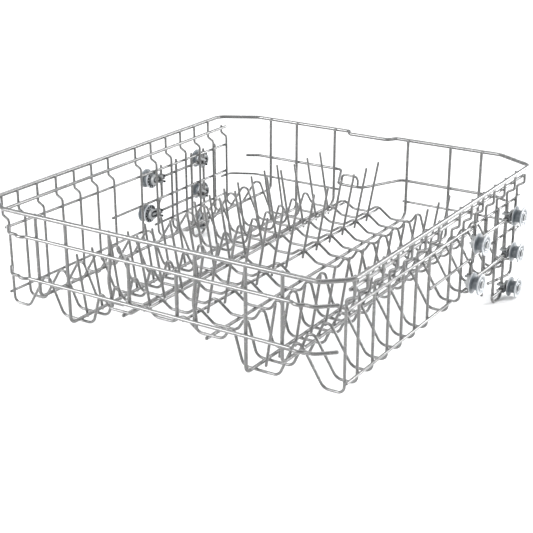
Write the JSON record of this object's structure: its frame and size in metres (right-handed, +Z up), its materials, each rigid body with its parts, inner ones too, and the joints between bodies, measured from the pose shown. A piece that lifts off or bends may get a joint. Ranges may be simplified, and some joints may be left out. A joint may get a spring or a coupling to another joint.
{
  "type": "dishwasher basket",
  "caption": "Coated wire dishwasher basket with an open rim, waved floor, rows of tines and spool rollers clipped to the side walls so that it slides on rails.",
  "frame": {"origin": "middle of the basket in plan, at the height of its lowest wires", "axes": "+X to the right, +Y to the back, +Z up; the wide low front wall faces -Y"},
  "size_m": [0.5364, 0.5425, 0.1768],
  "materials": {
    "coated_wire": "smooth grey plastic coating over steel wire",
    "roller_plastic": "moulded plastic spool",
    "clip_plastic": "moulded plastic clip and pin"
  },
  "bodies": {
    "basket": {"back_lower_rails": "coated_wire", "back_upper_rail": "coated_wire", "bowed_uprights": "coated_wire", "carrier_hoop_left": "coated_wire", "carrier_hoop_right": "coated_wire", "carrier_tail_left": "coated_wire", "carrier_tail_right": "coated_wire", "carrier_uprights_left": "coated_wire", "carrier_uprights_right": "coated_wire", "carrier_wires_left": "coated_wire", "carrier_wires_right": "coated_wire", "cross_wires": "coated_wire", "front_lower_rail": "coated_wire", "front_middle_rail": "coated_wire", "inner_frame_wires": "coated_wire", "inner_tines_left": "coated_wire", "inner_tines_right": "coated_wire", "j_wires": "coated_wire", "lower_front_side_rails": "coated_wire", "lower_rear_side_rails": "coated_wire", "middle_side_rails": "coated_wire", "outer_frame_wires": "coated_wire", "outer_tines_left": "coated_wire", "outer_tines_right": "coated_wire", "ridge_wires": "coated_wire", "rim": "coated_wire", "roller_clips_left": "clip_plastic", "roller_clips_right": "clip_plastic", "short_uprights": "coated_wire", "shoulder_wires": "coated_wire", "step_hoop": "coated_wire", "upper_side_rails": "coated_wire"},
    "roller_front_lower_left": {"roller_front_lower_left": "roller_plastic"},
    "roller_front_lower_right": {"roller_front_lower_right": "roller_plastic"},
    "roller_front_upper_left": {"roller_front_upper_left": "roller_plastic"},
    "roller_front_upper_right": {"roller_front_upper_right": "roller_plastic"},
    "roller_rear_lower_left": {"roller_rear_lower_left": "roller_plastic"},
    "roller_rear_lower_right": {"roller_rear_lower_right": "roller_plastic"},
    "roller_rear_middle_left": {"roller_rear_middle_left": "roller_plastic"},
    "roller_rear_middle_right": {"roller_rear_middle_right": "roller_plastic"},
    "roller_rear_upper_left": {"roller_rear_upper_left": "roller_plastic"},
    "roller_rear_upper_right": {"roller_rear_upper_right": "roller_plastic"}
  },
  "joints": [
    {"name": "front_lower_left_spin", "type": "hinge", "parent": "basket", "child": "roller_front_lower_left", "pos_m": [-0.2598, 0.061, 0.0655], "axis": [1, 0, 0], "continuous": true},
    {"name": "front_lower_right_spin", "type": "hinge", "parent": "basket", "child": "roller_front_lower_right", "pos_m": [0.2598, 0.061, 0.0655], "axis": [1, 0, 0], "continuous": true},
    {"name": "front_upper_left_spin", "type": "hinge", "parent": "basket", "child": "roller_front_upper_left", "pos_m": [-0.2598, 0.069, 0.116], "axis": [1, 0, 0], "continuous": true},
    {"name": "front_upper_right_spin", "type": "hinge", "parent": "basket", "child": "roller_front_upper_right", "pos_m": [0.2598, 0.069, 0.116], "axis": [1, 0, 0], "continuous": true},
    {"name": "rear_lower_left_spin", "type": "hinge", "parent": "basket", "child": "roller_rear_lower_left", "pos_m": [-0.2598, 0.195, 0.0155], "axis": [1, 0, 0], "continuous": true},
    {"name": "rear_lower_right_spin", "type": "hinge", "parent": "basket", "child": "roller_rear_lower_right", "pos_m": [0.2598, 0.195, 0.0155], "axis": [1, 0, 0], "continuous": true},
    {"name": "rear_middle_left_spin", "type": "hinge", "parent": "basket", "child": "roller_rear_middle_left", "pos_m": [-0.2598, 0.195, 0.0655], "axis": [1, 0, 0], "continuous": true},
    {"name": "rear_middle_right_spin", "type": "hinge", "parent": "basket", "child": "roller_rear_middle_right", "pos_m": [0.2598, 0.195, 0.0655], "axis": [1, 0, 0], "continuous": true},
    {"name": "rear_upper_left_spin", "type": "hinge", "parent": "basket", "child": "roller_rear_upper_left", "pos_m": [-0.2598, 0.195, 0.116], "axis": [1, 0, 0], "continuous": true},
    {"name": "rear_upper_right_spin", "type": "hinge", "parent": "basket", "child": "roller_rear_upper_right", "pos_m": [0.2598, 0.195, 0.116], "axis": [1, 0, 0], "continuous": true}
  ]
}
